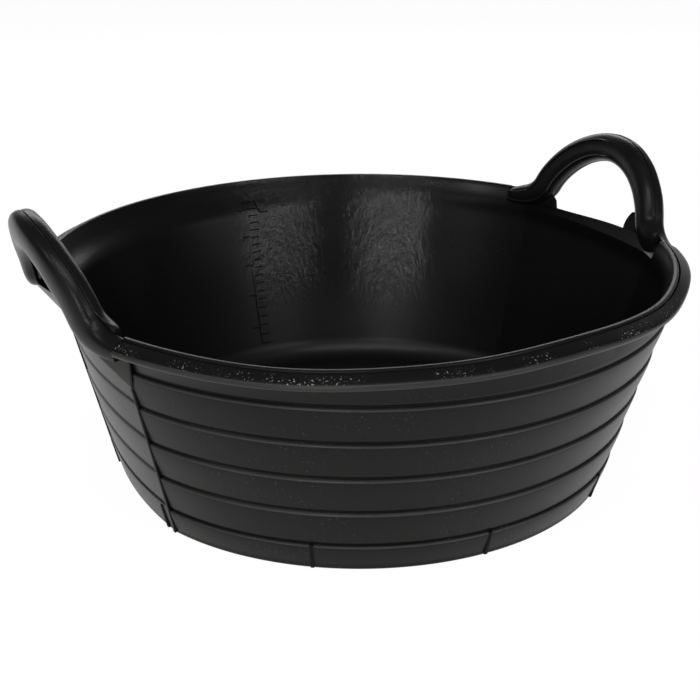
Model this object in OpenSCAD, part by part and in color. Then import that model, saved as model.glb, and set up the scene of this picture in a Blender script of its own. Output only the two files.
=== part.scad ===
// Black rubber feed tub: a banded round shell, a rim strip bonded round its lip in two lengths,
// and two arched handles, each laid up from an outer and an inner strap on a pair of foot gussets.
// Millimetres, +Z up. The origin is the centre of the base, and the handles stand near the X axis.

/* [Tub] */
// Diameter of the rim at its crest
rim_d = 480; // [470:1:500]
// Diameter at which the line of the wall meets the ground
base_d = 389; // [370:1:400]
// Height of the crest above the ground
rim_h = 168; // [164:1:180]
// Thickness of the wall, measured level
wall_t = 6; // [5:0.5:7]
// Thickness of the floor
floor_t = 6; // [4:0.5:9]
// Radius of the outer edge of the base
base_round = 3; // [2:0.5:9]
// Radius between the floor and the inside of the wall
floor_round = 22; // [14:1:28]

/* [Bands] */
// Number of grooves round the wall
groove_count = 5; // [3:1:5]
// Height of the lowest groove
groove_z = 21.5; // [19:0.5:23]
// Distance from one groove to the next
groove_pitch = 28.8; // [27:0.2:29.6]
// Depth of a groove behind the line of the wall
groove_depth = 2; // [1:0.25:2.5]
// How far a band swells past the line of the wall
band_swell = 0.6; // [0.4:0.1:2]

/* [Ends] */
// How flat the wall is under the handles: 0 is round and 1 is flat
end_flat_share = 0.4; // [0:0.05:1]
// Angle from the middle of a handle to the seams that bound the flattened wall
seam_angle = 20.5; // [16:0.5:22]

/* [Lugs and seams] */
// Number of mould lugs round the foot of the wall
lug_count = 10; // [6:2:14]
// Width of a lug and of a seam bead
lug_w = 4; // [3:0.5:6]
// How far a lug stands out from the line of the wall
lug_out = 1.4; // [0.8:0.2:2.4]
// How far a seam bead stands out from the line of the wall
seam_out = 1.6; // [1.2:0.2:2.4]

/* [Rim] */
// Height of the lip that turns out at the top of the wall
lip_h = 13; // [11:0.5:15]
// Radius of the crest
crest_round = 2.2; // [1.8:0.1:2.6]
// How far the rim strip stands out past the crest
flange_out = 12.3; // [10:0.1:15]
// Drop from the crest to the outer edge of the rim strip
flange_drop = 6; // [4:0.5:8]
// Height of the outer edge of the rim strip
edge_h = 4; // [4:0.5:6.5]
// How far the bead under the outer edge stands out
edge_bead = 0.9; // [0.4:0.1:1.4]

/* [Handles] */
// Angle by which both handles sit behind the middle of the tub
handle_shift = 1.4; // [0:0.1:3]
// Angle from the middle of a handle to the end of its foot
foot_angle = 24.9; // [22:0.1:27]
// Rise of a handle's centreline above its feet
arch_h = 57; // [46:1:66]
// Outward lean of a handle
lean_angle = 9.5; // [0:0.5:14]
// Width of the outer strap
strap_w = 23.5; // [20:0.5:27]
// Thickness of the outer strap
strap_t = 13.5; // [12:0.1:16]
// Width of the inner strap
liner_w = 22.5; // [14:0.5:26]
// Thickness of the inner strap
liner_t = 7.5; // [6:0.5:10]
// Bevel along the joint between the two straps
joint_bevel = 0.6; // [0.3:0.1:1.5]
// Bonding layer between pieces that are laid on each other
bond_t = 0.3; // [0.1:0.1:0.4]

/* [Gussets] */
// Height of a gusset
gusset_h = 29; // [24:1:40]
// Angle that the top of a gusset spans
gusset_span = 8.5; // [6:0.5:10]
// Angle by which the root of a gusset's square side turns to the end of the foot, from its tip to its top
gusset_lead = 3.5; // [1:0.5:4]

/* [Hidden] */
$fn = 180;
rubber = "#2b2b2b";
grip_rubber = "#242424";

// Overrun of every cut past the solid that it cuts
overrun = 2;
// Steps in a rounded corner, rings in half a handle, steps round a strap, and facets of an end panel
arc_steps = 8;
half_rings = 24;
strap_steps = 12;
panel_facets = 3;
// Height to which the wall is cut down under the handles, below the crest
notch_drop = 8.2;
// Height of the handles' centreline at the feet, below the crest
foot_drop = 7;
// Distance from the centreline of a handle to the joint between its two straps
joint_in = 3;
// Radius of the centreline at the feet, past the crest
foot_out = 0.5;
// How much lower the outer edge of a foot is than its root, where it meets the rim strip
foot_droop = 3;
// Flat underside of the handles' feet, below the crest
sole_drop = 14.5;
// Gap left between the base plane and a lug
lug_lift = 0.6;
// Outer edge of a gusset, past the crest
gusset_out = 9.5;
// Thickness of a gusset's thin edges
gusset_edge = 1;

// A band of the wall: height as a share of the pitch, and offset as a share of the groove's depth
// where it is negative, or of the swell where it is positive
band_shares = [[0, -1], [0.04, -1], [0.08, -0.1], [0.3, 0.2], [0.85, 1], [0.94, 0.75], [0.985, -0.1]];
// Depth of the roots of lugs and seam beads in the wall, and where the end panels start on the floor
root_share = 0.5;
panel_start_share = 0.5;
// Centreline of half a handle, as shares of the foot's angle and of the rise: the foot, then the arch
foot_curve_shares = [[1, 0], [0.82, 0], [0.69, 0.07], [0.64, 0.27]];
arch_curve_shares = [[0.64, 0.27], [0.545, 0.62], [0.29, 1], [0, 1]];
// Part of the way from a foot to the top of the arch that the foot takes
foot_share = 0.42;
// Width of the straps and thickness of the inner strap at the end of a foot
foot_w_share = 0.56;
liner_foot_w_share = 0.62;
liner_foot_t_share = 0.76;
// Length of the inner strap's rounded end along the handle, and its width at the tip
tongue_share = 0.13;
tongue_tip_share = 0.4;
// Squareness of a strap's section: 1 is an ellipse, less is squarer
strap_square_share = 0.82;

rim_r = rim_d / 2;
base_r = base_d / 2;
// Slope of the wall, and its angle from upright
wall_slope = (rim_r - base_r) / rim_h;
wall_angle = atan(wall_slope);
lip_z = rim_h - lip_h;
notch_z = rim_h - notch_drop;
foot_z = rim_h - foot_drop;
sole_z = rim_h - sole_drop;
gusset_top_z = sole_z - bond_t;
gusset_tip_z = gusset_top_z - gusset_h;
edge_r = rim_r + flange_out;
edge_z = rim_h - flange_drop;
lug_angle = 2 * asin(lug_w / 2 / base_r);
bond_angle = asin(bond_t / rim_r);
root_t = wall_t * root_share;
panel_start = base_r * panel_start_share;

// Radius of the line of the wall at a height
function wall_r(z) = base_r + wall_slope * z;

// The lip: its inner and outer roots on the wall, and where its two faces meet the round crest
lip_inner_z = lip_z - crest_round;
lip_root_in = [wall_r(lip_inner_z) - wall_t, lip_inner_z];
lip_root_out = [wall_r(lip_z), lip_z];
crest_centre = [rim_r, rim_h - crest_round];
crest_end_angle = 160;
crest_in = crest_centre + crest_round * [cos(crest_end_angle), sin(crest_end_angle)];
crest_out = crest_centre + [crest_round, 0];
// Point at a height on the straight line between two points
function at_height(a, b, z) = a + (b - a) * (z - a[1]) / (b[1] - a[1]);

// Points of an arc
function arc(c, r, from, to) =
    [for (i = [0:arc_steps]) let (a = from + (to - from) * i / arc_steps) c + r * [cos(a), sin(a)]];

// Points up one band, from the groove at z to the next one, which is h above it
function band(z, h) = [for (b = band_shares) let (at = z + b[0] * h)
    [wall_r(at) + b[1] * (b[1] < 0 ? groove_depth : band_swell), at]];

// The bands from the lowest groove up, and the part of the bottom band that is above the base's edge
function bands() = [for (i = [0:groove_count - 2]) each band(groove_z + i * groove_pitch, groove_pitch)];
function bottom_band() = [for (p = band(0, groove_z)) if (p[1] > base_round) p];
function top_band() = [for (p = band(groove_z + (groove_count - 1) * groove_pitch, groove_pitch))
    if (p[1] < lip_inner_z && wall_r(p[1]) > p[0]) p];

// Section of the shell, from the middle of the base, up the outside, over the lip and down the inside
function shell_section() = concat(
    [[0, 0]],
    arc([wall_r(base_round) - base_round / cos(wall_angle), base_round], base_round, -90, -wall_angle),
    bottom_band(), bands(), top_band(),
    [lip_root_out],
    arc(crest_centre, crest_round, 0, crest_end_angle),
    [lip_root_in],
    arc([wall_r(floor_t + floor_round) - wall_t - floor_round / cos(wall_angle), floor_t + floor_round],
        floor_round, -wall_angle, -90),
    [[0, floor_t]]);

// Where the right and the left handle stand
module on_right() {
    rotate([0, 0, handle_shift]) children();
}

module on_left() {
    mirror([1, 0, 0]) on_right() children();
}

// Radius of the flattened wall at an angle from a handle's middle, as a share of the round wall's radius:
// first at the edges of the panel's facets, then anywhere
function facet_edge(i) = seam_angle * (2 * i / panel_facets - 1);
function edge_share(i) = 1 - end_flat_share * (1 - cos(seam_angle) / cos(facet_edge(i)));
function facet_of(a) = min(panel_facets - 1, floor((a / seam_angle + 1) / 2 * panel_facets));
function end_share(a) = abs(a) >= seam_angle ? 1 :
    let (i = facet_of(a), from = facet_edge(i), to = facet_edge(i + 1))
    let (start = edge_share(i), end = edge_share(i + 1))
    start * end * sin(to - from) / (start * sin(a - from) + end * sin(to - a));

// Angle to the nearest handle's middle from a place round the tub
function from_handle(at) = atan2(sin(at), abs(cos(at))) - handle_shift;

// A slice of the wall's outside, from z0 to z1, that stands out past the line of the wall
module wall_slice(at, z0, z1, out) {
    low_r = wall_r(z0) * end_share(from_handle(at));
    high_r = wall_r(z1) * end_share(from_handle(at));
    rotate([0, 0, at - lug_angle / 2])
        rotate_extrude(angle = lug_angle)
            polygon([[low_r - root_t, z0], [low_r + out, z0], [high_r + out, z1], [high_r - root_t, z1]]);
}

// A block between two angles from a handle's middle, from start outwards and from z0 to z1
module sector(start, from, to, z0, z1) {
    reach = rim_d;
    translate([0, 0, z0])
        linear_extrude(z1 - z0)
            polygon([start * [1, tan(from)], reach * [1, tan(from)],
                     reach * [1, tan(to)], start * [1, tan(to)]]);
}

// The part of the tub that an end panel takes, or one facet of the panel
module panel_sector(from, to) {
    sector(panel_start, from, to, -overrun, rim_h + overrun);
}

// A handle's sector, from foot to foot
module handle_sector(z0, z1) {
    sector(panel_start, -foot_angle, foot_angle, z0, z1);
}

// One facet of an end panel: the section drawn straight across, so that its edges meet the next facets
module facet(section, i) {
    from = facet_edge(i);
    to = facet_edge(i + 1);
    start = edge_share(i) * [cos(from), sin(from)];
    end = edge_share(i + 1) * [cos(to), sin(to)];
    faces = atan2(start[0] - end[0], end[1] - start[1]);
    distance = start * [cos(faces), sin(faces)];
    intersection() {
        panel_sector(from, to);
        rotate([0, 0, faces])
            translate([0, rim_r, 0])
                rotate([90, 0, 0])
                    linear_extrude(rim_d)
                        polygon([for (p = section) [p[0] * distance, p[1]]]);
    }
}

module end_panel(section) {
    for (i = [0:panel_facets - 1]) facet(section, i);
}

// A section turned round the tub, flattened at both ends or, seen from one handle, at that end alone
module tub_form(section) {
    difference() {
        rotate_extrude() polygon(section);
        on_right() panel_sector(-seam_angle, seam_angle);
        on_left() panel_sector(-seam_angle, seam_angle);
    }
    on_right() end_panel(section);
    on_left() end_panel(section);
}

module end_form(section) {
    difference() {
        rotate_extrude() polygon(section);
        panel_sector(-seam_angle, seam_angle);
    }
    end_panel(section);
}

module tub_shell() {
    color(rubber) {
        difference() {
            tub_form(shell_section());
            on_right() handle_sector(notch_z, rim_h + overrun);
            on_left() handle_sector(notch_z, rim_h + overrun);
        }
        for (i = [0:lug_count - 1])
            wall_slice((i + 0.5) * 360 / lug_count, lug_lift, groove_z, lug_out);
        for (way = [-1, 1]) {
            wall_slice(handle_shift + way * seam_angle, lug_lift, gusset_tip_z - bond_t, seam_out);
            wall_slice(180 - handle_shift + way * seam_angle, lug_lift, gusset_tip_z - bond_t, seam_out);
        }
    }
}

// Section of the rim strip: it lies on the outside of the lip and slopes down to its edge
function rim_section() =
    let (bond = [bond_t, 0], low_z = edge_z - edge_h)
    [lip_root_out + bond, [edge_r - edge_bead, low_z],
     [edge_r + edge_bead, low_z + edge_bead], [edge_r + edge_bead, low_z + 2 * edge_bead],
     [edge_r, low_z + 3 * edge_bead], [edge_r, edge_z - edge_bead],
     [edge_r - edge_bead, edge_z], crest_out + bond];

// One length of rim strip, that starts and ends at the feet of the two handles
module rim_strip(end_angle) {
    rotate([0, 0, end_angle])
        rotate_extrude(angle = 180 - 2 * end_angle)
            polygon(rim_section());
}

module back_rim_strip() {
    color(rubber) rim_strip(foot_angle + handle_shift + bond_angle);
}

module front_rim_strip() {
    color(rubber) rotate([0, 0, 180]) rim_strip(foot_angle - handle_shift + bond_angle);
}

// Point on a curve of four control points
function bezier(p, t) =
    pow(1 - t, 3) * p[0] + 3 * t * pow(1 - t, 2) * p[1] + 3 * t * t * (1 - t) * p[2] + pow(t, 3) * p[3];

// Shares of angle and rise along a handle: u runs from -1 at one foot, through 0 on top, to 1
function along(u) = let (t = 1 - abs(u))
    t < foot_share ? bezier(foot_curve_shares, t / foot_share)
                   : bezier(arch_curve_shares, (t - foot_share) / (1 - foot_share));

// Centreline of a handle, seen from its middle
function turn(u) = sign(u) * foot_angle * along(u)[0];
function centre(u) = let (rise = arch_h * along(u)[1], r = rim_r + foot_out + rise * tan(lean_angle))
    [r * cos(turn(u)), r * sin(turn(u)), foot_z + rise];

// Directions along the handle, out from the tub, and away from the hand gap
function unit(v) = v / norm(v);
function tangent(u) = let (step = 0.5 / half_rings, a = turn(u))
    abs(u) == 1 ? [-sin(a), cos(a), 0] : unit(centre(u + step / 2) - centre(u - step / 2));
function outward(u) = let (lean = lean_angle * along(u)[1], a = turn(u), t = tangent(u),
                           n = [cos(a) * cos(lean), sin(a) * cos(lean), -sin(lean)])
    unit(n - (n * t) * t);
function away(u) = cross(outward(u), tangent(u));

// How far a place on the handle is from the end of its foot, from 0 to 1 at the top of the foot
function clear_of_foot(u) = let (t = min(1, (1 - abs(u)) / foot_share)) t * t * (3 - 2 * t);
function grown(u, foot_part) = foot_part + (1 - foot_part) * clear_of_foot(u);

// Half-round section: flat at the joint between the straps, of a given width and thickness
function half_round(w, t) = concat(
    [[0, joint_bevel - w / 2]],
    [for (i = [0:strap_steps]) let (a = -90 + 180 * i / strap_steps)
        [joint_bevel + (t - joint_bevel) * pow(max(0, cos(a)), strap_square_share),
         w / 2 * sign(a) * pow(abs(sin(a)), strap_square_share)]],
    [[0, w / 2 - joint_bevel]]);

// Width of the inner strap near its rounded end, as a share of its width further on
function tongue(u) = let (t = min(1, (1 - abs(u)) / tongue_share))
    tongue_tip_share + (1 - tongue_tip_share) * sqrt(t * (2 - t));

// Rings of the two straps along the handle
function stations() = [for (i = [-half_rings:half_rings]) i / half_rings];
function outer_ring(u) =
    let (c = centre(u) - joint_in * outward(u), droop = foot_droop * (1 - clear_of_foot(u)) / strap_t)
    [for (p = half_round(strap_w * grown(u, foot_w_share), strap_t))
        c + p[0] * outward(u) + (p[1] - p[0] * droop) * away(u)];
function inner_ring(u) =
    let (c = centre(u) - (joint_in + bond_t) * outward(u))
    let (w = liner_w * grown(u, liner_foot_w_share) * tongue(u), t = liner_t * grown(u, liner_foot_t_share))
    [for (p = half_round(w, t)) c - p[0] * outward(u) + p[1] * away(u)];

// Skin over a row of rings, closed at both ends
module skin(rings, flip) {
    n = len(rings[0]);
    m = len(rings);
    walls = [for (i = [0:m - 2], j = [0:n - 1]) let (a = i * n + j, b = i * n + (j + 1) % n)
        each [[a, b, b + n], [a, b + n, a + n]]];
    ends = [[for (j = [0:n - 1]) n - 1 - j], [for (j = [0:n - 1]) (m - 1) * n + j]];
    faces = concat(walls, ends);
    polyhedron([for (r = rings) each r],
               flip ? [for (f = faces) [for (k = [len(f) - 1:-1:0]) f[k]]] : faces);
}

// The wall under a handle with the bonding layer on it, made thicker on the side that a strap keeps clear of
module wall_saddle(more_in, more_out) {
    high = notch_z + bond_t;
    inner_side = [bond_t + more_in, 0];
    outer_side = [bond_t + more_out, 0];
    end_form([[wall_r(gusset_tip_z) - wall_t, gusset_tip_z] - inner_side,
              [wall_r(gusset_tip_z), gusset_tip_z] + outer_side,
              lip_root_out + outer_side, at_height(lip_root_out, crest_out, high) + outer_side,
              at_height(lip_root_in, crest_in, high) - inner_side, lip_root_in - inner_side]);
}

// A strap cut to sit on the wall, with a flat sole
module seated(rings, flip, more_in, more_out) {
    difference() {
        intersection() {
            skin(rings, flip);
            handle_sector(sole_z, rim_h + 2 * arch_h);
        }
        wall_saddle(more_in, more_out);
    }
}

module handle_outer() {
    color(grip_rubber) seated([for (u = stations()) outer_ring(u)], false, strap_t, 0);
}

module handle_inner() {
    color(grip_rubber) seated([for (u = stations()) inner_ring(u)], true, 0, strap_t);
}

module right_handle_outer() {
    on_right() handle_outer();
}

module right_handle_inner() {
    on_right() handle_inner();
}

module left_handle_outer() {
    on_left() handle_outer();
}

module left_handle_inner() {
    on_left() handle_inner();
}

// Wedge between the wall and the sole of a foot: its tip and its outer corner are over the seam,
// its square side turns to the end of the foot, and its other side runs out
module gusset() {
    function on_bands(a, z, out) =
        let (r = (wall_r(z) + band_swell) * end_share(a) + out) [r * cos(a), r * sin(a), z];
    top = gusset_top_z;
    run_out_angle = seam_angle - gusset_span;
    tip = on_bands(seam_angle, gusset_tip_z, bond_t + gusset_edge);
    tip_root = on_bands(seam_angle, gusset_tip_z, bond_t);
    corner = (rim_r + gusset_out) * [cos(seam_angle), sin(seam_angle), 0] + [0, 0, top];
    corner_root = on_bands(seam_angle + gusset_lead, top, bond_t);
    run_out = on_bands(run_out_angle, top, bond_t + gusset_edge);
    run_out_root = on_bands(run_out_angle, top, bond_t);
    seam_root = on_bands(seam_angle, top, bond_t);
    outer_side = [[0, 2, 4]];
    back = [[1, 5, 6], [1, 6, 3]];
    square_side = [[0, 1, 3], [0, 3, 2]];
    upper_side = [[2, 3, 6], [2, 6, 5], [2, 5, 4]];
    thin_side = [[0, 4, 5], [0, 5, 1]];
    color(rubber)
        polyhedron([tip, tip_root, corner, corner_root, run_out, run_out_root, seam_root],
                   concat(outer_side, back, square_side, upper_side, thin_side));
}

module right_back_gusset() {
    on_right() gusset();
}

module right_front_gusset() {
    on_right() mirror([0, 1, 0]) gusset();
}

module left_back_gusset() {
    on_left() gusset();
}

module left_front_gusset() {
    on_left() mirror([0, 1, 0]) gusset();
}

tub_shell();
front_rim_strip();
back_rim_strip();
right_handle_outer();
right_handle_inner();
left_handle_outer();
left_handle_inner();
right_front_gusset();
right_back_gusset();
left_front_gusset();
left_back_gusset();
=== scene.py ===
# %% [markdown]
# # A black rubber feed tub
# The tub is one thick rubber moulding with a banded wall, a strip bonded round its lip, and two
# handles that are each laid up from two straps. The solids from the part's source are the frame:
# they say where everything sits. This lesson dresses each solid with a finer mesh and a rubber
# finish. It bends soft walls and edges by a few millimetres, and keeps the tub inside the solids' box.

# %% Load the frame
import math
import bmesh
import bpy
from mathutils import Matrix, Vector, noise


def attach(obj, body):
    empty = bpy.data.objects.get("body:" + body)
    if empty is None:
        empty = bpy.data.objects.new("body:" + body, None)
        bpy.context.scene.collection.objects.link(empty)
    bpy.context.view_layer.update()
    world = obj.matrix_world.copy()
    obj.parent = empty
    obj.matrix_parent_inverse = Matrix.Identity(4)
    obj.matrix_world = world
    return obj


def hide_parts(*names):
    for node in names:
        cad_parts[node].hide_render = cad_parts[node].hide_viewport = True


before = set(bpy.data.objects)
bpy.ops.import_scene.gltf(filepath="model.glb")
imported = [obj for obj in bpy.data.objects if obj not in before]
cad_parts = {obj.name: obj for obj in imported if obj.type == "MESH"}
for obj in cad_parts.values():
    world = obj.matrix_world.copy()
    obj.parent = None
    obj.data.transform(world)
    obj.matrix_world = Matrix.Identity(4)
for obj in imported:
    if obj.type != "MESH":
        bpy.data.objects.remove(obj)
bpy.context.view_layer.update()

print("solids:", sorted(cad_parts))

# %% [markdown]
# ## The camera
# The photograph was taken from the front left, a little above the rim. Its lens and place were
# found by laying the rim, the five grooves and the foot of the wall over the picture, so they are
# written here as plain numbers. A tiny roll is turned in about the line of sight.

# %% Camera
view_turn = -117.6


def in_scene(name, data):
    """Makes an object for some data and links it into the scene."""
    thing = bpy.data.objects.new(name, data)
    bpy.context.scene.collection.objects.link(thing)
    return thing


def aim(thing, place, target, roll=0.0):
    """Puts a camera or lamp at a place, looking at a target, rolled by some degrees."""
    look = (Vector(target) - Vector(place)).to_track_quat("-Z", "Y").to_matrix()
    rolled = look @ Matrix.Rotation(math.radians(roll), 3, "Z")
    thing.matrix_world = Matrix.Translation(place) @ rolled.to_4x4()


camera = in_scene("camera", bpy.data.cameras.new("camera"))
camera.data.sensor_width = 36
camera.data.lens = 68.26
aim(camera, (-0.4607, -0.8679, 0.4714), (-0.0055, 0.0029, 0.0845), roll=-0.36)
bpy.context.scene.camera = camera
bpy.context.scene.view_settings.view_transform = "Standard"
print("camera at", [round(c, 3) for c in camera.matrix_world.translation])

# %% [markdown]
# ## Sums on a surface
# A finish is a sum of patterns. Wiring every Math node by hand hides the idea, so one small class
# stands for a value on its way through the nodes: adding or multiplying two of them adds the Math
# node. A second class holds a set of nodes and has one method that makes any other node.

# %% A value in a node tree
class Wire:
    """A value that a node gives out. Sums on wires become Math nodes."""

    def __init__(self, tree, socket):
        self.tree = tree
        self.socket = socket

    def maths(self, operation, *values):
        node = self.tree.nodes.new("ShaderNodeMath")
        node.operation = operation
        for way_in, value in zip(node.inputs, values):
            plug(self.tree, way_in, value)
        return Wire(self.tree, node.outputs[0])

    def __add__(self, other):
        return self.maths("ADD", self, other)

    def __sub__(self, other):
        return self.maths("SUBTRACT", self, other)

    def __rsub__(self, other):
        return self.maths("SUBTRACT", other, self)

    def __mul__(self, other):
        return self.maths("MULTIPLY", self, other)

    def __pow__(self, other):
        return self.maths("POWER", self, other)

    __radd__ = __add__
    __rmul__ = __mul__


def plug(tree, way_in, value):
    """Links a wire to a socket, or sets the socket's own value."""
    if isinstance(value, Wire):
        tree.links.new(value.socket, way_in)
    else:
        way_in.default_value = value


# %% A finish
class Finish:
    """A material, or the world, and the nodes that make it."""

    def __init__(self, owner, **settings):
        owner.use_nodes = True
        self.owner = owner
        self.tree = owner.node_tree
        self.shader = self.tree.nodes.get("Principled BSDF")
        for socket, value in settings.items():
            self.shader.inputs[socket.replace("_", " ")].default_value = value

    def node(self, kind, settings=None, sockets=None, out=0):
        """Makes a node of a kind, with its settings first and then its sockets, and gives one output."""
        node = self.tree.nodes.new(kind)
        for name, value in (settings or {}).items():
            setattr(node, name, value)
        for name, value in (sockets or {}).items():
            plug(self.tree, node.inputs[name], value)
        return Wire(self.tree, node.outputs[out])

    def place(self):
        """The place on the object, in metres."""
        return self.node("ShaderNodeTexCoord", out="Object")

    def axes(self, vector):
        """The three parts of a vector."""
        return [self.node("ShaderNodeSeparateXYZ", {}, {"Vector": vector}, out=i) for i in range(3)]

    def noise(self, scale, detail=4.0, rough=0.5, stretch=(1, 1, 1)):
        """Cloudy noise: scale is in waves to the metre, and stretch turns the clouds into streaks."""
        place = self.node("ShaderNodeMapping", {}, {"Vector": self.place(), "Scale": stretch})
        return self.node("ShaderNodeTexNoise", {"noise_dimensions": "3D"},
                         {"Vector": place, "Scale": scale, "Detail": detail, "Roughness": rough})

    def step(self, value, low, high):
        """0 below low, 1 above high, and smooth in between."""
        return self.node("ShaderNodeMapRange", {"interpolation_type": "SMOOTHSTEP"},
                         {"Value": value, "From Min": low, "From Max": high})

    def grey(self, share, dark, light):
        """A neutral colour between two levels of grey."""
        return self.node("ShaderNodeMix", {"data_type": "RGBA"},
                         {0: share, 6: (dark, dark, dark, 1), 7: (light, light, light, 1)}, out=2)

    def show(self, colour, roughness, height, depth):
        """Plugs a finish into its shader: height is a pattern, and depth is how deep it goes in metres."""
        bump = self.node("ShaderNodeBump", {}, {"Strength": 1.0, "Distance": depth, "Height": height})
        for name, value in {"Base Color": colour, "Roughness": roughness, "Normal": bump}.items():
            plug(self.tree, self.shader.inputs[name], value)
        return self.owner


# %% [markdown]
# ## The sizes
# These are the named sizes of the part's source in metres. The finer meshes are worked out from
# them, so that each one lies where its solid lies.

# %% Sizes
mm = 0.001
rim_r, base_r, rim_h = 240 * mm, 194.5 * mm, 168 * mm
wall_t, floor_t, base_round, floor_round = 6 * mm, 6 * mm, 3 * mm, 22 * mm
groove_count, groove_z, groove_pitch = 5, 21.5 * mm, 28.8 * mm
lip_h, bond_t = 13 * mm, 0.3 * mm
seam_angle, foot_angle, handle_shift = math.radians(20.5), math.radians(24.9), math.radians(1.4)
lip_z, notch_z, sole_z = rim_h - lip_h, rim_h - 8.2 * mm, rim_h - 14.5 * mm
gusset_tip_z = sole_z - 29.3 * mm
slope = (rim_r - base_r) / rim_h
wall_angle = math.atan(slope)
middles = (handle_shift, math.pi - handle_shift)
crest_shape = ((2.2, 2.2), (2.1, 1.2), (1.7, 0.5), (1.0, 0.1), (0.4, 0),
               (-0.8, 0), (-1.4, 0.2), (-1.9, 0.7), (-2.1, 1.4))
crest = [(rim_r + out * mm, rim_h - down * mm) for out, down in crest_shape]


def wall_r(z):
    """Radius of the line of the wall at a height."""
    return base_r + slope * z


def away_at(turn):
    """The level direction at an angle round the tub."""
    return Vector((math.cos(turn), math.sin(turn), 0))


def arc(centre, radius, start, end, steps=10):
    """Points of an arc, with its angles in degrees."""
    turns = [math.radians(start + (end - start) * i / steps) for i in range(steps + 1)]
    return [(centre[0] + radius * math.cos(a), centre[1] + radius * math.sin(a)) for a in turns]


def smooth(t):
    """0 below 0, 1 above 1, and an even rise in between."""
    t = max(0.0, min(1.0, t))
    return t * t * (3 - 2 * t)


lip_root_out = (wall_r(lip_z), lip_z)
print("the wall leans", round(math.degrees(wall_angle), 1), "degrees")

# %% [markdown]
# Three things keep the tub from being a plain turned shape. The wall is flattened under the handles,
# between the seams. The rim of a rubber tub is never quite level: it dips and rises by a couple of
# millimetres along the front. Each wave has its angle from the camera, its width and its rise. And
# the soft wall hangs a few millimetres to one side under the stiff rim.

# %% Flat ends, a wavy rim and a leaning wall
end_flat_share, flat_from_r = 0.5, 90 * mm
view_right, view_front = away_at(math.radians(view_turn + 90)), away_at(math.radians(view_turn))
lean_shape = ((0, 1.6), (60, 2.8), (110, 4.4), (140, 5.2), (157, 0))
lean_by_height = [(z * mm, out * mm) for z, out in lean_shape]
base_lean, base_lean_h = 0.8 * mm, 60 * mm
rim_waves = ((-12, 17, -2.5 * mm), (34, 13, 2.7 * mm), (62, 10, -2.0 * mm))
wave_z, wave_h = 138 * mm, 22 * mm


def from_camera(turn):
    """Angle round the tub from the camera's side, in degrees."""
    return (math.degrees(turn) - view_turn + 180) % 360 - 180


def from_handle(turn):
    """Angle from the middle of the nearest handle."""
    return math.atan2(math.sin(turn), abs(math.cos(turn))) - handle_shift


def end_share(turn):
    """Radius of the flattened wall, as a share of the round one."""
    a = from_handle(turn)
    return 1 - end_flat_share * (1 - math.cos(seam_angle) / math.cos(a)) if abs(a) < seam_angle else 1


def wave(turn, z):
    """Rise of the rim at an angle, fading out down the wall."""
    a = from_camera(turn)
    rise = sum(high * math.exp(-((a - at) / wide) ** 2) for at, wide, high in rim_waves)
    return rise * smooth((z - wave_z) / wave_h)


def lean(z):
    """How far the wall hangs to the side at a height."""
    for (z0, out0), (z1, out1) in zip(lean_by_height, lean_by_height[1:]):
        if z <= z1:
            aside = view_right * (out0 + (out1 - out0) * smooth((z - z0) / (z1 - z0)))
            return aside + view_front * base_lean * smooth(1 - z / base_lean_h)
    return Vector((0, 0, 0))


def settle(bm, flatten=True):
    """Flattens the ends of a mesh on the wall, waves its rim, and lets it lean."""
    for v in bm.verts:
        turn = math.atan2(v.co.y, v.co.x)
        share = end_share(turn) if flatten and v.co.xy.length > flat_from_r else 1
        v.co = Vector((v.co.x * share, v.co.y * share, v.co.z + wave(turn, v.co.z))) + lean(v.co.z)


print("the middle of an end panel is", round(1000 * rim_r * (1 - end_share(handle_shift)), 1), "mm flat")

# %% [markdown]
# ## Making a piece
# Every piece is modelled at the origin with its place in its mesh, rides on the body, and may stand
# for the solid that it dresses. Smooth shading with sharp edges by angle lets one mesh have both
# the soft swell of a band and a crisp groove.

# %% Helpers for pieces
weld, fine_weld = 1e-5, 1e-6


def piece(bm, name, finish, node=None, sharp=35):
    """Turns a bmesh into a finished piece that rides on the tub."""
    bmesh.ops.remove_doubles(bm, verts=bm.verts, dist=fine_weld)
    bmesh.ops.recalc_face_normals(bm, faces=bm.faces)
    open_edges = sum(1 for e in bm.edges if not e.is_manifold)
    mesh = bpy.data.meshes.new(name)
    bm.to_mesh(mesh)
    bm.free()
    mesh.shade_smooth()
    mesh.set_sharp_from_angle(angle=math.radians(sharp))
    mesh.materials.append(finish)
    thing = in_scene(name, mesh)
    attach(thing, "root")
    if node:
        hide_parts(node)
    print(f"{name}: {len(mesh.polygons)} faces, {open_edges} open edges")
    return thing


def turned(bm, line, start, end, steps):
    """Turns a line of (radius, height) points about the tub's axis, from one angle to another."""
    verts = [bm.verts.new((r * math.cos(start), r * math.sin(start), z)) for r, z in line]
    edges = [bm.edges.new(pair) for pair in zip(verts, verts[1:])]
    bmesh.ops.spin(bm, geom=verts + edges, cent=(0, 0, 0), axis=(0, 0, 1), angle=end - start, steps=steps)


def close_holes(bm):
    """Merges what meets, and puts a face on every open loop of edges."""
    bmesh.ops.remove_doubles(bm, verts=bm.verts, dist=weld)
    bmesh.ops.holes_fill(bm, edges=[e for e in bm.edges if e.is_boundary])


def framed(x, y, z, place):
    """A matrix from three directions and a place."""
    made = Matrix((x, y, z)).transposed().to_4x4()
    made.translation = place
    return made
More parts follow.
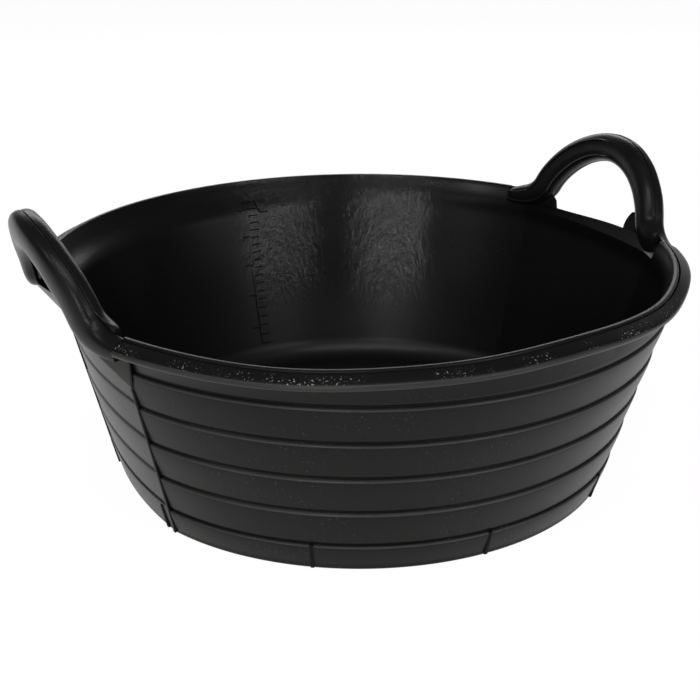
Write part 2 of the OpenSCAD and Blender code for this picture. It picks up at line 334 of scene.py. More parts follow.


# %% [markdown]
# ## Rubber
# Black rubber isn't an even black. The outside of the wall is satin, with a cloudy bloom and pale
# scuffs, and the ledge of each band is painted paler as a highlight. The inside is glossier, and two
# upright bands of it are wrinkled where the mould was worn: each has its two angles and the height of
# its foot. The wedges under the handles are a little shinier. A duller rubber is for lugs, webs and strokes,
# where the mould held its dust.

# %% Rubber of the wall
warm = (1.0, 0.975, 0.95, 1)
wrinkled_bands = ((73, 88, 32 * mm), (48, 61, 30 * mm))
fade_out, fade_in, foot_fade = 0.12, 0.08, 55 * mm
gloss_low, gloss_high, relief = 25 * mm, 100 * mm, 0.35 * mm


def wall_rubber():
    """Satin rubber with a cloudy bloom, scuffs and a painted highlight on each ledge, for the outside."""
    rubber = Finish(bpy.data.materials.new("wall_rubber"), Specular_IOR_Level=0.15, Specular_Tint=warm)
    painted_ledge_light = rubber.node("ShaderNodeAttribute", {"attribute_name": "painted_ledge_light"}, out="Fac")
    cloud = rubber.noise(16, 5, 0.6)
    grain = rubber.noise(1100, 2)
    marks, scuffed = rubber.noise(480, 3), rubber.noise(20, 2)
    scuffs = rubber.step(marks, 0.63, 0.72) * rubber.step(scuffed, 0.46, 0.6)
    # The ledges are painted paler: a painted highlight where each ledge catches the light.
    pale_and_highlit = scuffs * 0.5 + cloud * 0.05 + painted_ledge_light * (0.35 + cloud * 0.8)
    colour = rubber.grey(pale_and_highlit, 0.0035, 0.07)
    rough = 0.31 + cloud * 0.1 + scuffs * 0.2
    return rubber.show(colour, rough, grain * 0.16 + cloud * 0.4 - scuffs * 0.3, relief)


def inner_rubber():
    """Glossier rubber with two wrinkled bands, for the inside."""
    rubber = Finish(bpy.data.materials.new("inner_rubber"), Specular_IOR_Level=0.25)
    x, y, z = rubber.axes(rubber.place())
    cloud = rubber.noise(16, 5, 0.6)
    turn = y.maths("ARCTAN2", y, x) + (rubber.noise(28, 5, 0.65) - 0.5) * 0.3
    wrinkled = 0.0
    for low, high, foot in wrinkled_bands:
        start, end = math.radians(low), math.radians(high)
        begun = rubber.step(turn, start - fade_out, start + fade_in)
        ended = rubber.step(turn, end - fade_in, end + fade_out)
        wrinkled = wrinkled + begun * (1 - ended) * rubber.step(z, foot, foot + foot_fade)
    grain, blots = rubber.noise(1100, 2), rubber.noise(75, 4, 0.6)
    wrinkles = rubber.noise(300, 5, 0.6, stretch=(1, 1, 0.45))
    specks = rubber.step(rubber.noise(430, 2), 0.7, 0.76)
    colour = rubber.grey(cloud * 0.1 + specks * 0.2, 0.003, 0.02)
    smoother = rubber.step(z, gloss_low, gloss_high) * 0.12
    rough = 0.36 - smoother + cloud * 0.08 + wrinkled * (blots - 0.7) * 0.25
    height = grain * 0.12 + cloud * 0.4 + specks * 0.4 + wrinkles * (0.1 + 1.7 * wrinkled)
    return rubber.show(colour, rough, height, relief)


def wedge_rubber():
    """A shinier rubber for the wedges."""
    rubber = Finish(bpy.data.materials.new("wedge_rubber"), Specular_IOR_Level=0.45, Specular_Tint=warm)
    cloud, grain = rubber.noise(40, 5, 0.6), rubber.noise(1000, 3)
    colour = rubber.grey(cloud * 0.2, 0.004, 0.02)
    return rubber.show(colour, 0.36 + cloud * 0.12, grain * 0.2 + cloud * 0.4, relief)


def dull_rubber():
    """A dull rubber for lugs, webs and strokes."""
    rubber = Finish(bpy.data.materials.new("dull_rubber"), Specular_IOR_Level=0.12)
    grain = rubber.noise(900, 3)
    colour = rubber.grey(grain * 0.3, 0.003, 0.012)
    return rubber.show(colour, 0.6 + grain * 0.2, grain, 0.15 * mm)


finishes = wall_rubber(), inner_rubber(), wedge_rubber(), dull_rubber()
wall_finish, inner_finish, wedge_finish, dull_finish = finishes
print("finishes:", [finish.name for finish in finishes])

# %% [markdown]
# ## The shell
# On the real tub the floor, the wall and the turned-out lip come out of the mould in one piece. Its
# section is drawn once as a line and turned about the axis. Under each handle the lip is cut away,
# so those two arcs turn a shorter line, and the ends of the lip are closed with a face each.

# %% Section of the wall
flare_z, notch_drop, skin = 136 * mm, 6 * mm, 3 * mm
hub_r, foot_gap, lip_gap = 100 * mm, 0.3 * mm, 3 * mm
lip_heights, wall_heights = (164, 161, 158), (150, 147, 144, 140, 136, 120, 90, 60)
band_shape = [(0, -1.7), (0.02, -1.75), (0.05, -0.95), (0.08, -0.5), (0.11, -0.36), (0.16, -0.22),
              (0.25, 0.0), (0.4, 0.35), (0.55, 0.65), (0.7, 0.85), (0.82, 0.95), (0.9, 0.95),
              (0.93, 0.82), (0.945, 0.5), (0.982, -1.2)]


def band(z, high):
    """Points up one band: it starts in a groove, swells, and its rounded ledge drops into the next groove."""
    return [(wall_r(z + share * high) + out * mm, z + share * high) for share, out in band_shape]


def outer_line():
    """The outside of the wall, from the middle of the base up to the root of the lip."""
    foot = (wall_r(base_round) - base_round / math.cos(wall_angle), base_round)
    line = [(0, 0), (hub_r, 0)] + arc(foot, base_round, -90, -math.degrees(wall_angle))
    line += [p for p in band(0, groove_z) if p[1] > base_round + foot_gap]
    for i in range(groove_count - 1):
        line += band(groove_z + i * groove_pitch, groove_pitch)
    top = band(groove_z + (groove_count - 1) * groove_pitch, groove_pitch)
    return line + [p for p in top if p[1] < lip_z - lip_gap and p[0] < wall_r(p[1])] + [lip_root_out]


def inner_at(z):
    """A point of the inside wall, which curves out towards the crest."""
    top_r, top_z = crest[-1]
    flare = (top_r - wall_r(top_z) + wall_t) * max(0, (z - flare_z) / (top_z - flare_z)) ** 2
    return (wall_r(z) - wall_t + flare, z)


def inner_line():
    """The inside, from the foot of the notch down to the middle of the floor."""
    foot_h = floor_t + floor_round
    foot = (wall_r(foot_h) - wall_t - floor_round / math.cos(wall_angle), foot_h)
    corner = arc(foot, floor_round, -math.degrees(wall_angle), -90, 14)
    return [inner_at(z * mm) for z in wall_heights] + corner + [(hub_r, floor_t), (0, floor_t)]


def at_height(a, b, z):
    """The point at a height on the straight line between two points."""
    share = (z - a[1]) / (b[1] - a[1])
    return (a[0] + (b[0] - a[0]) * share, z)


notch = [at_height(lip_root_out, crest[0], notch_z), inner_at(notch_z - notch_drop)]
lip_inside = [inner_at(z * mm) for z in lip_heights]
full_line = outer_line() + notch[:1] + crest + lip_inside + notch[1:] + inner_line()
cut_line = outer_line() + notch + inner_line()
print("section of", len(full_line), "points")

# %% [markdown]
# The two end panels of the wall, below the handles, came from other plates of the mould, and their
# grooves sit a little higher than those of the long panels. The seam beads hide the step. The right
# notch is a little lower at the back than at the front. A point counts as on the outside if it lies
# within a skin of the wall's line.

# %% Turn the shell
seam_half, notch_tilt = math.radians(0.3), 2.0 * mm
panel_rise, panel_depth_share, panel_top = 2.4 * mm, 0.55, lip_z - 2 * mm
fade_low, fade_high = 10 * mm, 16 * mm
long_steps, end_steps, foot_steps = 130, 40, 6
ledge_light_shares, ledge_light_top = (0.92, 0.96), lip_z - 5 * mm


def raise_end_panels(bm):
    """Lifts the grooves of the end panels and makes them shallower, fading out at foot and lip."""
    for v in bm.verts:
        r, z = v.co.xy.length, v.co.z
        a = from_handle(math.atan2(v.co.y, v.co.x))
        if abs(a) < seam_angle and base_round < z < panel_top and r > wall_r(z) - skin:
            rise = panel_rise * min(1, (z - base_round) / fade_low, (panel_top - z) / fade_high)
            share = (wall_r(z) + panel_depth_share * (r - wall_r(z)) + rise * slope) / r
            v.co = Vector((v.co.x * share, v.co.y * share, z + rise))


def mark_inside(bm):
    """Gives the faces of the inside the second finish, and the others the first."""
    floor_z, crest_r = 4 * mm, rim_r - 1.5 * mm
    for f in bm.faces:
        r, z = f.calc_center_median().xy.length, f.calc_center_median().z
        inside = r < wall_r(z) - skin or z > lip_z and r < crest_r
        f.material_index = int(z > floor_z and inside)


def tilt_notch(bm):
    """Lowers the back of the right notch and raises its front."""
    for v in bm.verts:
        a = from_handle(math.atan2(v.co.y, v.co.x))
        if v.co.x > 0 and abs(a) < foot_angle and v.co.z > notch_z - notch_drop:
            v.co.z -= notch_tilt * math.sin(math.pi * a / foot_angle)


def mark_ledge_light(bm):
    """Writes 1 on the points along the ledge of each band, where a highlight is painted, else 0."""
    painted_ledge_light = bm.verts.layers.float.new("painted_ledge_light")
    for v in bm.verts:
        r, z = v.co.xy.length, v.co.z
        share = (z - groove_z) / groove_pitch % 1 if z > groove_z else z / groove_z
        on_ledge = ledge_light_shares[0] < share < ledge_light_shares[1]
        v[painted_ledge_light] = float(on_ledge and r > wall_r(z) - skin and z < ledge_light_top)


def shell_skin():
    """Turns the long panels and the cut ends, then closes, marks and bends the shell."""
    bm = bmesh.new()
    near, far = seam_angle - seam_half, seam_angle + seam_half
    right, left = middles
    turned(bm, full_line, right + foot_angle, left - foot_angle, long_steps)
    turned(bm, full_line, left + foot_angle, right + 2 * math.pi - foot_angle, long_steps)
    arcs = ((-foot_angle, -far, foot_steps), (-far, -near, 1), (-near, near, end_steps),
            (near, far, 1), (far, foot_angle, foot_steps))
    for middle in middles:
        for start, end, steps in arcs:
            turned(bm, cut_line, middle + start, middle + end, steps)
    close_holes(bm)
    mark_inside(bm)
    mark_ledge_light(bm)
    raise_end_panels(bm)
    tilt_notch(bm)
    settle(bm)
    return piece(bm, "shell_skin", wall_finish, "tub_shell", sharp=24)


shell = shell_skin()
shell.data.materials.append(inner_finish)

# %% [markdown]
# ## Lugs and seams
# Ten small lugs stand round the foot of the wall and a bead runs down each of the four mould
# seams. Each is a bar with bevelled edges, laid against the slope of the wall. Above a seam a round
# bead turns aside and follows the side of the gusset up to the rim.

# %% Bars on the wall
def on_wall(turn, z, out=0.0):
    """A place on the outside of the wall: x runs round the wall, y up its slope and z out of it."""
    away = away_at(turn)
    up = away * math.sin(wall_angle) + Vector((0, 0, math.cos(wall_angle)))
    off = away * math.cos(wall_angle) - Vector((0, 0, math.sin(wall_angle)))
    place = away * wall_r(z) * end_share(turn) + Vector((0, 0, z)) + off * out
    return framed(up.cross(off), up, off, place)


def bar(bm, place, wide, high, thick):
    """A block of a size that stands on a place."""
    size = Matrix.Diagonal((wide, high, thick, 1))
    bmesh.ops.create_cube(bm, size=1, matrix=place @ Matrix.Translation((0, 0, thick / 2)) @ size)


def rounded(bm, offset, segments=3, edges=None):
    """Bevels some edges, or every edge."""
    bmesh.ops.bevel(bm, geom=edges or bm.edges[:], offset=offset, offset_type="OFFSET", affect="EDGES",
                    segments=segments, profile=0.5, material=-1)


def wall_bars(name, finish, turns, high, wide, out, bevel):
    """Makes a piece of bars from the foot of the wall up to a height, rooted deep in the wall."""
    bm = bmesh.new()
    low, root = 1.2 * mm, 3 * mm
    for turn in turns:
        place = on_wall(turn, (low + high) / 2, -root)
        bar(bm, place, wide, (high - low) / math.cos(wall_angle), root + out)
    rounded(bm, bevel)
    settle(bm, flatten=False)
    return piece(bm, name, finish, sharp=60)


def rod(bm, start, end, thick):
    """A round rod from one point to another."""
    along = end - start
    turn = along.to_track_quat("Z", "Y").to_matrix().to_4x4()
    bmesh.ops.create_cone(bm, cap_ends=True, segments=12, radius1=thick / 2, radius2=thick / 2,
                          depth=along.length, matrix=Matrix.Translation((start + end) / 2) @ turn)


lug_count, first_lug = 10, 16.3
lug_turns = [math.radians(360 // lug_count * i + first_lug) for i in range(lug_count)]
wall_bars("foot_lugs", dull_finish, lug_turns, groove_z, wide=3 * mm, out=1.4 * mm, bevel=0.8 * mm)

# %% Seams
seam_turns = [(middle + way * seam_angle, way) for middle in middles for way in (-1, 1)]
bead_turn, bead_t, bead_overlap = math.radians(3.7), 2.4 * mm, 1 * mm
bead_foot_out, bead_top_out = 0.4 * mm, 0.6 * mm
wall_bars("seam_beads", wall_finish, [turn for turn, way in seam_turns], gusset_tip_z,
          wide=2.6 * mm, out=1.5 * mm, bevel=0.7 * mm)


def gusset_beads():
    """Round beads from each seam up the side of its gusset."""
    bm = bmesh.new()
    for turn, way in seam_turns:
        foot = on_wall(turn, gusset_tip_z - bead_overlap, bead_foot_out).translation
        top = on_wall(turn + way * bead_turn, sole_z, bead_top_out).translation
        rod(bm, foot, top, bead_t)
    settle(bm, flatten=False)
    return piece(bm, "gusset_beads", wall_finish, sharp=60)


gusset_beads()

# %% [markdown]
# ## The rim strip
# A strip of rubber is bonded round the outside of the lip between the handles. A crease parts it from
# the crest, and its face slopes out to a narrow upright edge. The edge was trimmed by hand after the
# tub came out of the mould, which leaves nicks along the face. Their pale colour is painted glints,
# and the edge is painted paler as a highlight.

# %% Rubber of the rim
face_from, face_full = rim_r + 4 * mm, rim_r + 9 * mm
edge_from, edge_full = rim_r + 11.4 * mm, rim_r + 11.8 * mm


def rim_rubber():
    """Satin rubber with nicks on the face, painted pale as glints, and a painted highlight along the edge."""
    rubber = Finish(bpy.data.materials.new("rim_rubber"), Specular_IOR_Level=0.22, Specular_Tint=warm)
    x, y, z = rubber.axes(rubber.place())
    r = (x * x + y * y) ** 0.5
    face = rubber.step(r, face_from, face_full)
    # The edge band is where a paler highlight is painted.
    edge_highlight = rubber.step(r, edge_from, edge_full)
    cloud = rubber.noise(30, 5, 0.6)
    grain = rubber.noise(1000, 3)
    patches = rubber.step(rubber.noise(32, 2), 0.44, 0.54)
    # Nicks are real dents in the bump, and their pale colour is painted glints.
    nicks_and_glints = rubber.step(rubber.noise(640, 2, 0.6), 0.62, 0.67) * patches * face * (1 - edge_highlight)
    colour = rubber.grey(nicks_and_glints * 0.7 + edge_highlight * (0.02 + cloud * 0.05), 0.004, 0.5)
    rough = 0.3 + cloud * 0.12 + nicks_and_glints * 0.2
    return rubber.show(colour, rough, grain * 0.2 + cloud * 0.3 + nicks_and_glints * 1.2, relief)


rim_finish = rim_rubber()
print("finish:", rim_finish.name)

# %% Turn the rim strips
strip_shape = ((237.1, 155.0), (246.0, 156.5), (250.6, 157.9), (251.6, 158.1), (252.2, 158.6), (252.6, 159.4),
               (252.7, 160.6), (252.5, 161.3), (251.9, 162.0), (250.2, 163.1), (247.6, 164.5), (243.5, 166.5),
               (242.8, 164.9))
rim_line = [(r * mm, z * mm) for r, z in strip_shape]
trim_depth, trim_turn, trim_width = 2.6 * mm, 68, 13
trim_from_r, trim_fade, strip_steps = 244 * mm, 8 * mm, 150


def trim_corner(bm):
    """Takes a little more off the edge at the right front corner, where it was trimmed hardest."""
    for v in bm.verts:
        a, r = from_camera(math.atan2(v.co.y, v.co.x)), v.co.xy.length
        share = smooth((r - trim_from_r) / trim_fade) * math.exp(-((a - trim_turn) / trim_width) ** 2)
        v.co.xy *= 1 - trim_depth * share / r


def rim_strip(name, node, start, end):
    """A strip from the middle of one handle to the middle of the next, less their feet."""
    bm = bmesh.new()
    gap = math.asin(bond_t / rim_r)
    turned(bm, rim_line + rim_line[:1], start + foot_angle + gap, end - foot_angle - gap, strip_steps)
    close_holes(bm)
    trim_corner(bm)
    settle(bm)
    return piece(bm, name, rim_finish, node, sharp=50)


rim_strip("back_strip", "back_rim_strip", *middles)
rim_strip("front_strip", "front_rim_strip", middles[1], middles[0] + 2 * math.pi)

# %% [markdown]
# ## The handles
# A handle is two straps, one laid on the inside of the other. Both follow one curve: the foot lies
# along the rim, turns up, and the arch leans out a little. A half-round section is pushed along that
# curve by extruding its ring of edges again and again, and each new ring is set to the next place,
# width and thickness. The left handle mirrors the right one, but a fin of squeezed-out rubber makes
# its outer strap wider on the side of the hand gap. Two creases mark the right handle's back half.

# %% Rubber of the grips
def grip_rubber():
    """Smooth rubber, rubbed by hands, with a few pale specks."""
    rubber = Finish(bpy.data.materials.new("grip_rubber"), Specular_IOR_Level=0.17)
    cloud = rubber.noise(34, 5, 0.6)
    grain = rubber.noise(700, 3)
    lumps = rubber.noise(160, 4, 0.6)
    specks = rubber.step(rubber.noise(560, 2), 0.70, 0.76) * rubber.step(rubber.noise(40, 2), 0.5, 0.64)
    colour = rubber.grey(specks * 0.5 + cloud * 0.05, 0.004, 0.09)
    rough = 0.25 + cloud * 0.14 + specks * 0.2
    return rubber.show(colour, rough, grain * 0.15 + lumps * 0.35 + cloud * 0.5, 0.4 * mm)


grip_finish = grip_rubber()
print("finish:", grip_finish.name)

# %% The curve of a handle
foot_curve = [Vector(p) for p in ((1, 0), (0.82, 0), (0.69, 0.07), (0.64, 0.27))]
arch_curve = [Vector(p) for p in ((0.64, 0.27), (0.545, 0.62), (0.29, 1), (0, 1))]
foot_share, arch_h, lean_angle = 0.42, 57 * mm, math.radians(9.5)
foot_z, foot_r, tangent_step = rim_h - 7 * mm, rim_r + 0.5 * mm, 0.01


def bezier(p, t):
    """Point on a curve of four control points."""
    return (1 - t) ** 3 * p[0] + 3 * t * (1 - t) ** 2 * p[1] + 3 * t * t * (1 - t) * p[2] + t ** 3 * p[3]


def along(u):
    """Shares of the angle and of the rise: u is -1 at one foot, 0 on top and 1 at the other foot."""
    t = 1 - abs(u)
    if t < foot_share:
        return bezier(foot_curve, t / foot_share)
    return bezier(arch_curve, (t - foot_share) / (1 - foot_share))


def centre(u):
    """Point on the centreline of a handle, seen from its middle."""
    turn, rise = math.copysign(foot_angle, u) * along(u)[0], arch_h * along(u)[1]
    r = foot_r + rise * math.tan(lean_angle)
    return Vector((r * math.cos(turn), r * math.sin(turn), foot_z + rise))


def station(u):
    """Place and directions of a section: x out from the tub, y away from the hand gap, z along the handle."""
    turn, tilt = math.copysign(foot_angle, u) * along(u)[0], lean_angle * along(u)[1]
    on_foot = Vector((-math.sin(turn), math.cos(turn), 0))
    ahead = centre(u + tangent_step) - centre(u - tangent_step)
    forward = on_foot if abs(u) == 1 else ahead.normalized()
    out = Vector((math.cos(turn) * math.cos(tilt), math.sin(turn) * math.cos(tilt), -math.sin(tilt)))
    out = (out - out.dot(forward) * forward).normalized()
    return framed(out, out.cross(forward), forward, centre(u))


print("top of the centreline in mm:", [round(c * 1000, 1) for c in centre(0)])

# %% Push a section along the curve
squarish, crease_half, crease_clear = 0.82, 0.1, 0.12


def half_round(wide, thick, low_bevel, high_bevel, flash=0.0, creases=(), steps=20):
    """Section of a strap: flat at the joint, bevelled beside it, with a squarish round back. Flash is how
    much wider it is on the side of the hand gap. A third number marks the bottom of a crease."""
    turns = [(math.pi * (i / steps - 0.5), 0) for i in range(steps + 1)]
    for at in creases:
        turns = [t for t in turns if abs(t[0] - at) > crease_clear]
        turns += [(at - crease_half, 0), (at, 1), (at + crease_half, 0)]
    points = [(0, low_bevel - wide / 2 - flash, 0)]
    for a, mark in sorted(turns):
        bevel, half = (low_bevel, wide / 2 + flash) if a < 0 else (high_bevel, wide / 2)
        points.append((bevel + (thick - bevel) * max(0, math.cos(a)) ** squarish,
                       math.copysign(half * abs(math.sin(a)) ** squarish, a), mark))
    return points + [(0, wide / 2 - high_bevel, 0)]


def clear_of_foot(u):
    """0 at the end of a foot, 1 from the top of the foot on."""
    return smooth((1 - abs(u)) / foot_share)


def grown(u, foot_part):
    """Share of the full size: foot_part at the end of a foot, 1 from the top of the foot on."""
    return foot_part + (1 - foot_part) * clear_of_foot(u)


def strap(bm, section, shape, start, rings=60):
    """Pushes a section along the handle, from its start at the front to the back foot. shape sizes it."""
    crease = bm.verts.layers.int.new("crease")
    ring = [bm.verts.new((x, y, 0)) for x, y, mark in section]
    for v, (x, y, mark) in zip(ring, section):
        v[crease] = mark
    edges = [bm.edges.new(pair) for pair in zip(ring, ring[1:] + ring[:1])]
    before = Matrix.Identity(4)
    for i in range(-rings, rings + 1):
        if i > -rings:
            made = bmesh.ops.extrude_edge_only(bm, edges=edges)["geom"]
            ring = [g for g in made if isinstance(g, bmesh.types.BMVert)]
            edges = [g for g in made if isinstance(g, bmesh.types.BMEdge) and g.is_boundary]
        u = i / rings * (start if i < 0 else 1)
        now = station(u) @ shape(u)
        bmesh.ops.transform(bm, matrix=now @ before.inverted(), verts=ring)
        before = now
    close_holes(bm)


def seat(bm):
    """Cuts the soles flat."""
    bmesh.ops.bisect_plane(bm, geom=bm.verts[:] + bm.edges[:] + bm.faces[:], dist=1e-7,
                           plane_co=(0, 0, sole_z), plane_no=(0, 0, -1), clear_outer=True)
    close_holes(bm)


def lumpy(bm, depth, scale):
    """Moves every point a little along its normal, as on rubber that was laid up by hand."""
    bm.normal_update()
    for v in bm.verts:
        v.co += v.normal * depth * noise.noise(v.co * scale)


# %% The shape of each strap
strap_w, strap_t, liner_w, liner_t = 23.5 * mm, 10.3 * mm, 23 * mm, 10.5 * mm
foot_droop, foot_w_share = 3 * mm, 0.56
front_end, front_long, front_tip, front_thin, thin_long = 0.925, 0.05, 0.9, 0.4, 0.14
back_long, back_tip, back_w_share, back_t_share = 0.13, 0.45, 0.66, 0.8


def swell(t):
    """0 at the tip of a tongue, 1 from its full width on, along a quarter of an ellipse."""
    t = min(1, t)
    return math.sqrt(max(0, t * (2 - t)))


def outer_shape(u):
    """Narrower at the feet, where the outer edge droops to meet the rim strip."""
    droop = Matrix.Identity(4)
    droop[1][0] = -foot_droop * (1 - clear_of_foot(u)) / strap_t
    return droop @ Matrix.Diagonal((1, grown(u, foot_w_share), 1, 1))


def inner_shape(u):
    """Turned to face the tub, with a wide, thin end at the front and a tongue at the back."""
    if u < 0:
        wide = front_tip + (1 - front_tip) * swell((front_end + u) / front_long)
        thick = front_thin + (1 - front_thin) * swell((front_end + u) / thin_long)
    else:
        tongue = back_tip + (1 - back_tip) * swell((1 - u) / back_long)
        wide = grown(u, back_w_share) * tongue
        thick = grown(u, back_t_share) * (0.5 + 0.5 * tongue)
    return Matrix.Translation((-bond_t, 0, 0)) @ Matrix.Diagonal((-thick, wide, 1, 1))


# %% The straps
crease_depth, crease_from, crease_fade = 1.3 * mm, -2, 4
lump_depth, lump_scale = 0.25 * mm, 55


def press_creases(bm, depth):
    """Presses the marked points in, on the back half of the handle."""
    bm.normal_update()
    crease = bm.verts.layers.int["crease"]
    for v in bm.verts:
        if v[crease]:
            turn = math.degrees(math.atan2(v.co.y, v.co.x))
            v.co -= v.normal * depth * smooth((turn - crease_from) / crease_fade)
    bm.verts.layers.int.remove(crease)


def place_on(bm, side):
    """Turns a handle to its place behind the middle, and mirrors it for the left side."""
    place = Matrix.Rotation(handle_shift, 4, "Z")
    if side == "left":
        place = Matrix.Diagonal((-1, 1, 1, 1)) @ place
    bmesh.ops.transform(bm, matrix=place, verts=bm.verts)


def handle(side, low_bevel, high_bevel, flash, creases):
    """Makes the outer and the inner strap of one handle."""
    outer = half_round(strap_w, strap_t, low_bevel, high_bevel, flash)
    inner = half_round(liner_w, liner_t, low_bevel, high_bevel, creases=creases)
    parts = (("outer", outer, outer_shape, 1), ("inner", inner, inner_shape, front_end))
    for part, section, shape, start in parts:
        bm = bmesh.new()
        strap(bm, section, shape, start)
        press_creases(bm, crease_depth)
        if part == "outer":
            seat(bm)
        lumpy(bm, lump_depth, lump_scale)
        place_on(bm, side)
        piece(bm, f"{side}_strap_{part}", grip_finish, f"{side}_handle_{part}", sharp=40)


handle("right", low_bevel=1.0 * mm, high_bevel=0.25 * mm, flash=0, creases=(0.45, -0.5))
handle("left", low_bevel=0.6 * mm, high_bevel=0.6 * mm, flash=4.5 * mm, creases=())

# %% [markdown]
# Rubber that crept between the mould's halves was never trimmed from the right hand hole: a thin web
# fills its front corner, and a smaller one its back corner.

# %% Webs in the right hand hole
web_r, web_t = 237.5 * mm, 3 * mm
front_web = ((-8.1, 158.5), (-8.5, 163), (-9.2, 167.8), (-9.9, 171.1), (-11.2, 176), (-14, 178),
             (-18, 170), (-22, 160), (-22, 150), (-8.1, 150))
back_web = ((12.8, 150), (13.2, 162.3), (14, 166), (15, 168), (18, 164), (22, 160), (22, 150))


def web(bm, outline):
    """A thin plate on the line of the wall. Its outline is in degrees from the handle's middle and mm."""
    turns = [(math.radians(a) + handle_shift, z * mm) for a, z in outline]
    face = bm.faces.new([bm.verts.new((web_r * math.cos(a), web_r * math.sin(a), z)) for a, z in turns])
    out = face.calc_center_median().xy.normalized() * web_t
    made = bmesh.ops.extrude_face_region(bm, geom=[face])["geom"]
    moved = [g for g in made if isinstance(g, bmesh.types.BMVert)]
    bmesh.ops.translate(bm, verts=moved, vec=(out.x, out.y, 0))


web_bm = bmesh.new()
for outline in (front_web, back_web):
    web(web_bm, outline)
piece(web_bm, "hole_webs", dull_finish)

# %% [markdown]
# ## The gussets
# Under each foot a three-cornered wedge carries the load into the wall. The solid has the right faces,
# so its own mesh is copied, merged, and given rounded edges.

# %% Gussets
sharp_edge, wedge_bevel = math.radians(25), 0.5 * mm


def gusset(node):
    """Dresses one wedge, with its edges rounded."""
    bm = bmesh.new()
    bm.from_mesh(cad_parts[node].data)
    bmesh.ops.remove_doubles(bm, verts=bm.verts, dist=weld)
    sharp = [e for e in bm.edges if e.is_manifold and e.calc_face_angle(0) > sharp_edge]
    rounded(bm, wedge_bevel, 2, sharp)
    settle(bm, flatten=False)
    return piece(bm, node.replace("gusset", "wedge"), wedge_finish, node)


for side in ("right", "left"):
    for way in ("front", "back"):
        gusset(f"{side}_{way}_gusset")

# %% [markdown]
# ## The measuring scale
# Raised strokes up the inside of the back wall show how much is in the tub: litres on the right and
# gallons on the left. Their heights are worked out from the volume below them, so the marks stay true.
# Two more strokes make the letter L, for litres.

# %% Heights of the marks
def inner_r(z):
    """Radius of the inside of the tub at a height above the ground."""
    rise = floor_t + floor_round - z
    corner = floor_round - math.sqrt(max(0, floor_round ** 2 - rise ** 2)) if rise > 0 else 0
    return wall_r(max(z, floor_t + floor_round)) - wall_t - corner - slope * max(0, rise) / 2


def height_of(litres, layer=0.25 * mm):
    """Height at which the tub holds so many litres."""
    z, volume = floor_t, 0.0
    while volume < litres / 1000:
        volume += math.pi * inner_r(z + layer / 2) ** 2 * layer
        z += layer
    return z


gallon = 3.785
litre_marks = [height_of(n) for n in range(2, 21)]
gallon_marks = [height_of(gallon * n) for n in range(1, 6)]
print("20 litres at", round(litre_marks[-1] / mm, 1), "mm")

# %% Strokes on the inside of the wall
scale_turn, scale_foot = math.radians(89.9), 24 * mm
stroke_w, stroke_t, stroke_bevel = 1.2 * mm, 1.1 * mm, 0.22 * mm
litre_long, gallon_long = 8 * mm, 7 * mm
unit_turn, unit_z, unit_high = scale_turn - 12 * mm / wall_r(147 * mm), 146 * mm, 11 * mm
unit_foot_z, unit_wide = 141 * mm, 8 * mm


def on_inside(turn, z, sink=0.3 * mm):
    """A place on the inside of the wall: x runs to the right, y up the slope and z into the tub."""
    away = away_at(turn)
    up = away * math.sin(wall_angle) + Vector((0, 0, math.cos(wall_angle)))
    off = Vector((0, 0, math.sin(wall_angle))) - away * math.cos(wall_angle)
    place = away * (wall_r(z) - wall_t) + Vector((0, 0, z)) - off * sink
    return framed(up.cross(off), up, off, place)


def stroke(bm, turn, z, wide, high):
    """A raised bar of a size on the inside of the wall."""
    bar(bm, on_inside(turn, z), wide, high, stroke_t)


def unit_letter(bm):
    """The letter L: an upright stroke and a stroke along its foot."""
    stroke(bm, unit_turn, unit_z, stroke_w, unit_high)
    stroke(bm, unit_turn - unit_wide / 2 / wall_r(unit_foot_z), unit_foot_z, unit_wide, stroke_w)


def scale_marks():
    """An upright with the litres on its right, the gallons on its left, and the letter."""
    bm = bmesh.new()
    high = litre_marks[-1] + stroke_w / 2
    stroke(bm, scale_turn, (scale_foot + high) / 2, stroke_w, (high - scale_foot) / math.cos(wall_angle))
    for marks, way, long in ((litre_marks, 1, litre_long), (gallon_marks, -1, gallon_long)):
        for z in marks:
            turn = scale_turn - way * (long / 2 + stroke_w / 2) / (wall_r(z) - wall_t)
            stroke(bm, turn, z, long, stroke_w)
    unit_letter(bm)
    rounded(bm, stroke_bevel, 2)
    settle(bm, flatten=False)
    return piece(bm, "scale_marks", dull_finish, sharp=60)


scale_marks()

# %% [markdown]
# ## Floor and light
# The tub stands on a plain white floor, in a room that looks white to the camera. Rubber this dark
# shows little but reflections, so for everything else the room is dim, except for a white screen
# behind the tub and a light horizon. Each lamp is named after what it draws: the tall narrow ones
# make the two glossy patches on the inside of the back wall, and the smallest make the glints on
# ledges and grips.

# %% Floor
floor_r, floor_glow, glow_share = 14, 1.05, 0.92
white_rays = ("Is Camera Ray", "Is Glossy Ray", "Is Transmission Ray")


def floor_paint():
    """Paint that shows shadows, and looks white to the camera and in reflections."""
    white = Finish(bpy.data.materials.new("studio_floor"))
    paint = white.node("ShaderNodeBsdfDiffuse", {}, {"Color": (0.9, 0.9, 0.9, 1)})
    glow = white.node("ShaderNodeEmission", {}, {"Color": (1, 1, 1, 1), "Strength": floor_glow})
    seen = [white.node("ShaderNodeLightPath", out=ray) for ray in white_rays]
    share = white.node("ShaderNodeClamp", {}, {"Value": seen[0] + seen[1] + seen[2]}) * glow_share
    mix = white.node("ShaderNodeMixShader", {}, {0: share, 1: paint, 2: glow})
    plug(white.tree, white.tree.nodes["Material Output"].inputs["Surface"], mix)
    return white.owner


def studio_floor():
    """A wide white disc under the tub."""
    bm = bmesh.new()
    bmesh.ops.create_circle(bm, cap_ends=True, segments=96, radius=floor_r)
    mesh = bpy.data.meshes.new("studio_floor")
    bm.to_mesh(mesh)
    bm.free()
    mesh.materials.append(floor_paint())
    return in_scene("studio_floor", mesh)


studio_floor()
print("floor", 2 * floor_r, "m across")

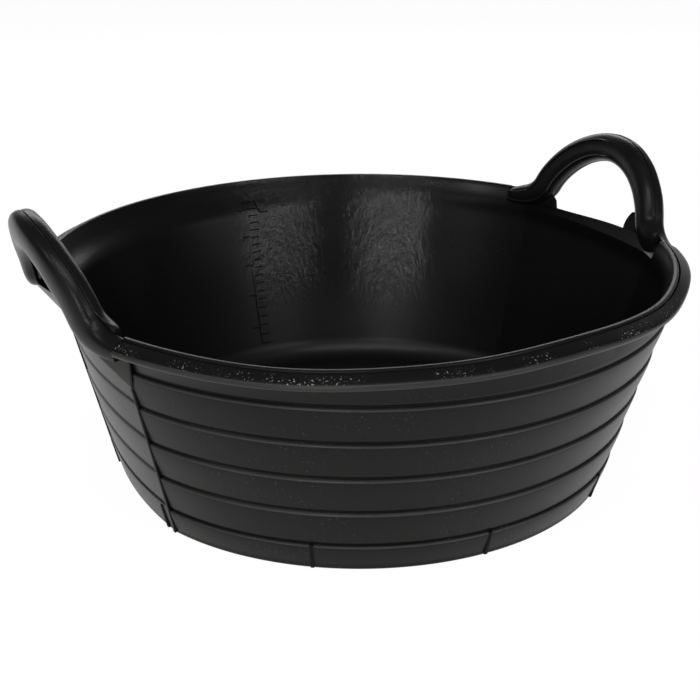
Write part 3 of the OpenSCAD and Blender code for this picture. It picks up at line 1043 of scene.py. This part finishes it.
# %% Room
dim, screen_share = 0.1, 0.944
screen_side, screen_foot, screen_top, horizon_top = (0.72, 0.9), (0.12, 0.3), (0.5, 0.7), (0.0, 0.05)
room = Finish(bpy.data.worlds.new("room"))
bpy.context.scene.world = room.owner
look = room.node("ShaderNodeTexCoord", out="Generated")
up = room.axes(look)[2]
behind_tub = room.node("ShaderNodeVectorMath", {"operation": "DOT_PRODUCT"},
                       {0: look, 1: -view_front}, out="Value")
screen = room.step(behind_tub, *screen_side) * room.step(up, *screen_foot) * (1 - room.step(up, *screen_top))
horizon = 1 - room.step(up, *horizon_top)
seen = room.node("ShaderNodeLightPath", out="Is Camera Ray")
lit = screen.maths("MAXIMUM", screen, horizon) * screen_share
shade = room.grey(seen.maths("MAXIMUM", seen, lit), dim, 1.0)
plug(room.tree, room.tree.nodes["Background"].inputs["Color"], shade)
print("room of", len(room.tree.nodes), "nodes")

# %% Lamps
lamp_far, lamp_target = 2.4, Vector((0, 0, 0.1))
lamps = (("front_top", 0, 64, 1.6, 0.5, 5.0),
         ("ledge_glint", -35, 50, 0.2, 0.2, 14.0),
         ("grip_glint", -60, 42, 0.18, 0.18, 26.0),
         ("left_patch", 41, 22, 0.38, 0.95, 8.5),
         ("right_patch", -14, 21, 0.26, 0.9, 15.0),
         ("left_panel", 66, 16, 1.1, 0.6, 0.7),
         ("right_panel", -48, 16, 0.8, 0.6, 0.7),
         ("back_softbox", 180, 24, 2.4, 0.6, 2.0))


def lamp(name, turn, rise, wide, high, radiance):
    """A soft rectangle of light, by its angle round the tub from the camera, its angle up, its size and
    its radiance, which is its energy over four times its area."""
    data = bpy.data.lights.new(name, "AREA")
    data.shape, data.size, data.size_y = "RECTANGLE", wide, high
    data.energy = radiance * 4 * wide * high
    away, rise = away_at(math.radians(view_turn + turn)), math.radians(rise)
    place = lamp_target + lamp_far * (away * math.cos(rise) + Vector((0, 0, math.sin(rise))))
    thing = in_scene(name, data)
    aim(thing, place, lamp_target)
    thing.visible_camera = False


for settings in lamps:
    lamp(*settings)
